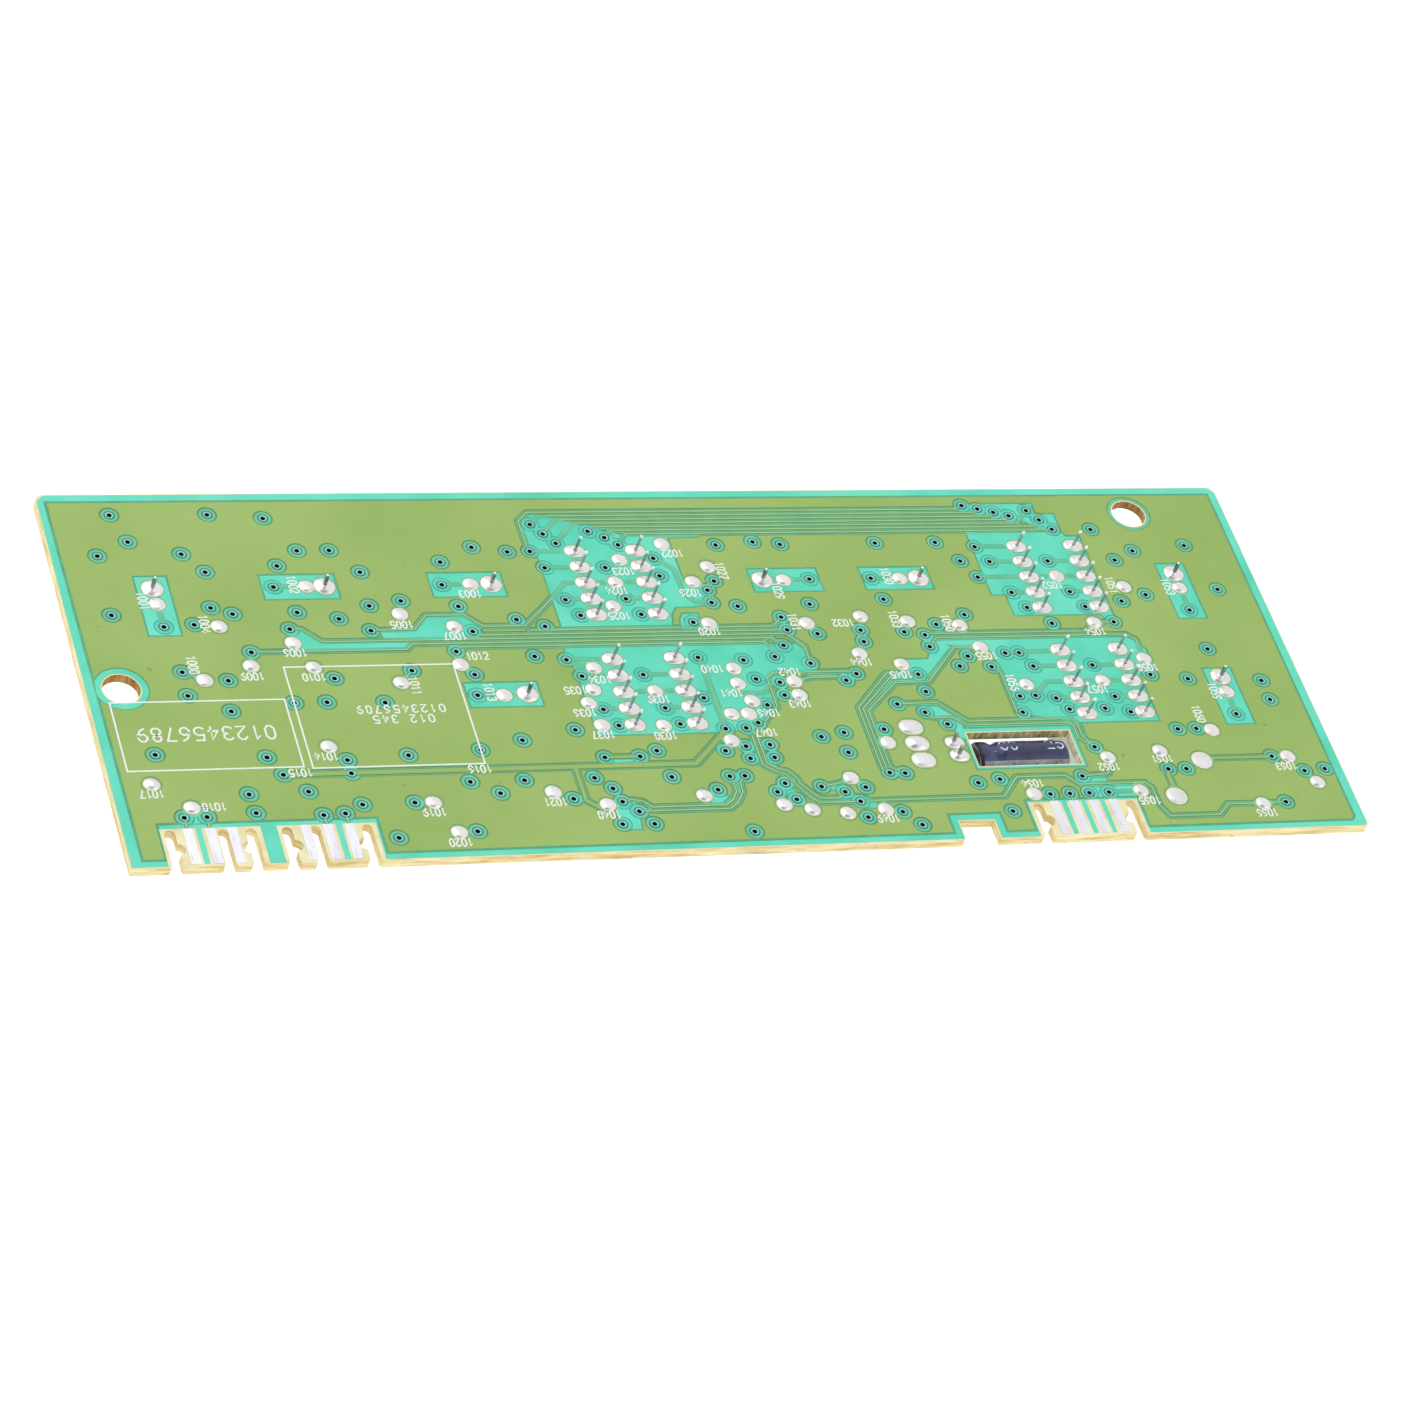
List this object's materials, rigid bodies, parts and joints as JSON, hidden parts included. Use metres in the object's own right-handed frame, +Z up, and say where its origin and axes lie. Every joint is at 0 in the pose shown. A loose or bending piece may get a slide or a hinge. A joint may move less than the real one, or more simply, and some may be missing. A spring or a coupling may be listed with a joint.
{
  "type": "user interface board",
  "caption": "Touch-control circuit board, solder side up, with edge contacts, digit displays, coil touch springs and a capacitor lying in a window.",
  "frame": {"origin": "under the middle of the board, at the level of the touch springs' free ends", "axes": "+X along the board's length, to the right when the solder side is seen with the edge connectors towards the viewer; +Y across the board, away from the edge connectors; +Z up, out of the solder side"},
  "size_m": [0.1502, 0.056, 0.0138],
  "materials": {
    "laminate": "green solder mask over copper on glass-fibre laminate, cream cut edges",
    "plated_copper": "tinned copper contact fingers",
    "display_plastic": "moulded white plastic, dark printed face",
    "display_diffuser": "milky light-guide resin",
    "lead_wire": "tinned lead, dull",
    "spring_wire": "tinned spring wire",
    "can_aluminium": "bare drawn can",
    "capacitor_sleeve": "dark blue shrink sleeve with pale stripe",
    "seal_rubber": "black moulded rubber",
    "package_plastic": "black moulded package",
    "resistor_coat": "black glazed top on alumina",
    "capacitor_ceramic": "fired tan ceramic",
    "solder": "bright tin solder, slightly frosted"
  },
  "bodies": {
    "root": {"circuit_board": "laminate", "left_edge_contacts": "plated_copper", "right_edge_contacts": "plated_copper", "display_1_housing": "display_plastic", "display_2_housing": "display_plastic", "display_3_housing": "display_plastic", "display_4_housing": "display_plastic", "display_1_segments": "display_diffuser", "display_2_segments": "display_diffuser", "display_3_segments": "display_diffuser", "display_4_segments": "display_diffuser", "display_1_leads": "lead_wire", "display_2_leads": "lead_wire", "display_3_leads": "lead_wire", "display_4_leads": "lead_wire", "touch_spring_1": "spring_wire", "touch_spring_2": "spring_wire", "touch_spring_3": "spring_wire", "touch_spring_4": "spring_wire", "touch_spring_5": "spring_wire", "touch_spring_6": "spring_wire", "touch_spring_7": "spring_wire", "touch_spring_8": "spring_wire", "capacitor_can": "can_aluminium", "capacitor_sleeve": "capacitor_sleeve", "capacitor_seal": "seal_rubber", "capacitor_leads": "lead_wire", "microcontroller_body": "package_plastic", "microcontroller_leads": "lead_wire", "touch_chip_body": "package_plastic", "touch_chip_leads": "lead_wire", "display_driver_bodies": "package_plastic", "display_driver_leads": "lead_wire", "regulator_body": "package_plastic", "regulator_leads": "lead_wire", "chip_resistors": "resistor_coat", "chip_capacitors": "capacitor_ceramic", "chip_end_terminals": "solder", "display_solder": "solder", "spring_solder": "solder", "capacitor_solder": "solder", "test_point_solder": "solder", "blank_pad_solder": "solder"}
  },
  "joints": []
}
